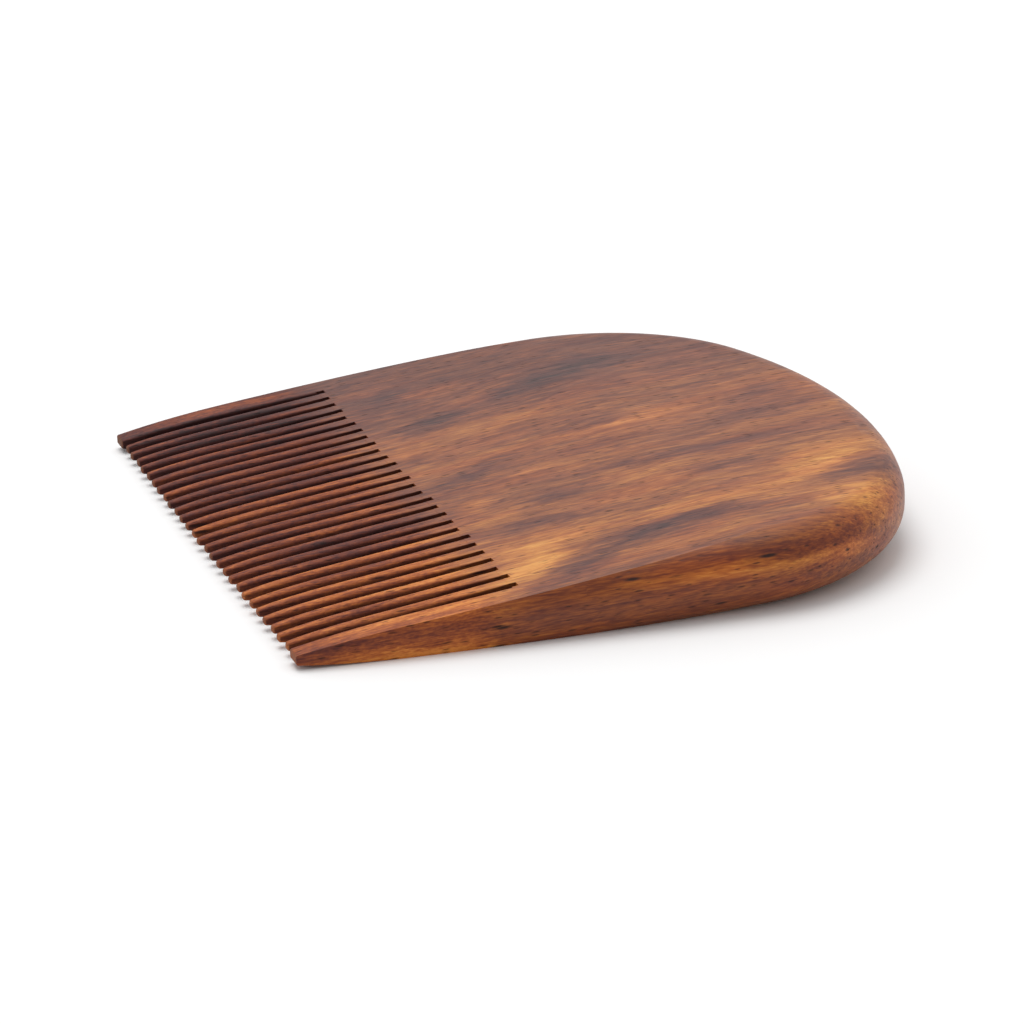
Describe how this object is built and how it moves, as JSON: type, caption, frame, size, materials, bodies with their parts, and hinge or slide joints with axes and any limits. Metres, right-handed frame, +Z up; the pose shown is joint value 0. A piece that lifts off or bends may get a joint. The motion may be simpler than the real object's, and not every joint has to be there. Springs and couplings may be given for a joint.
{
  "type": "hair comb",
  "caption": "D-shaped wooden pocket comb with fine straight teeth along its flat side, a rounded grip and faces that taper towards the tips.",
  "frame": {"origin": "on the surface that the comb lies on, below the middle of its bounding box", "axes": "+X along the comb from the tooth tips to the round end, +Y across the teeth, +Z up from the surface that it lies on"},
  "size_m": [0.0708, 0.068, 0.0088],
  "materials": {
    "heartwood": "oiled and sanded satin, with the grain along the teeth"
  },
  "bodies": {
    "root": {"grip_plate": "heartwood", "guard_tooth_left": "heartwood", "guard_tooth_right": "heartwood", "tooth_01": "heartwood", "tooth_02": "heartwood", "tooth_03": "heartwood", "tooth_04": "heartwood", "tooth_05": "heartwood", "tooth_06": "heartwood", "tooth_07": "heartwood", "tooth_08": "heartwood", "tooth_09": "heartwood", "tooth_10": "heartwood", "tooth_11": "heartwood", "tooth_12": "heartwood", "tooth_13": "heartwood", "tooth_14": "heartwood", "tooth_15": "heartwood", "tooth_16": "heartwood", "tooth_17": "heartwood", "tooth_18": "heartwood", "tooth_19": "heartwood", "tooth_20": "heartwood", "tooth_21": "heartwood", "tooth_22": "heartwood", "tooth_23": "heartwood", "tooth_24": "heartwood", "tooth_25": "heartwood", "tooth_26": "heartwood", "tooth_27": "heartwood"}
  },
  "joints": []
}
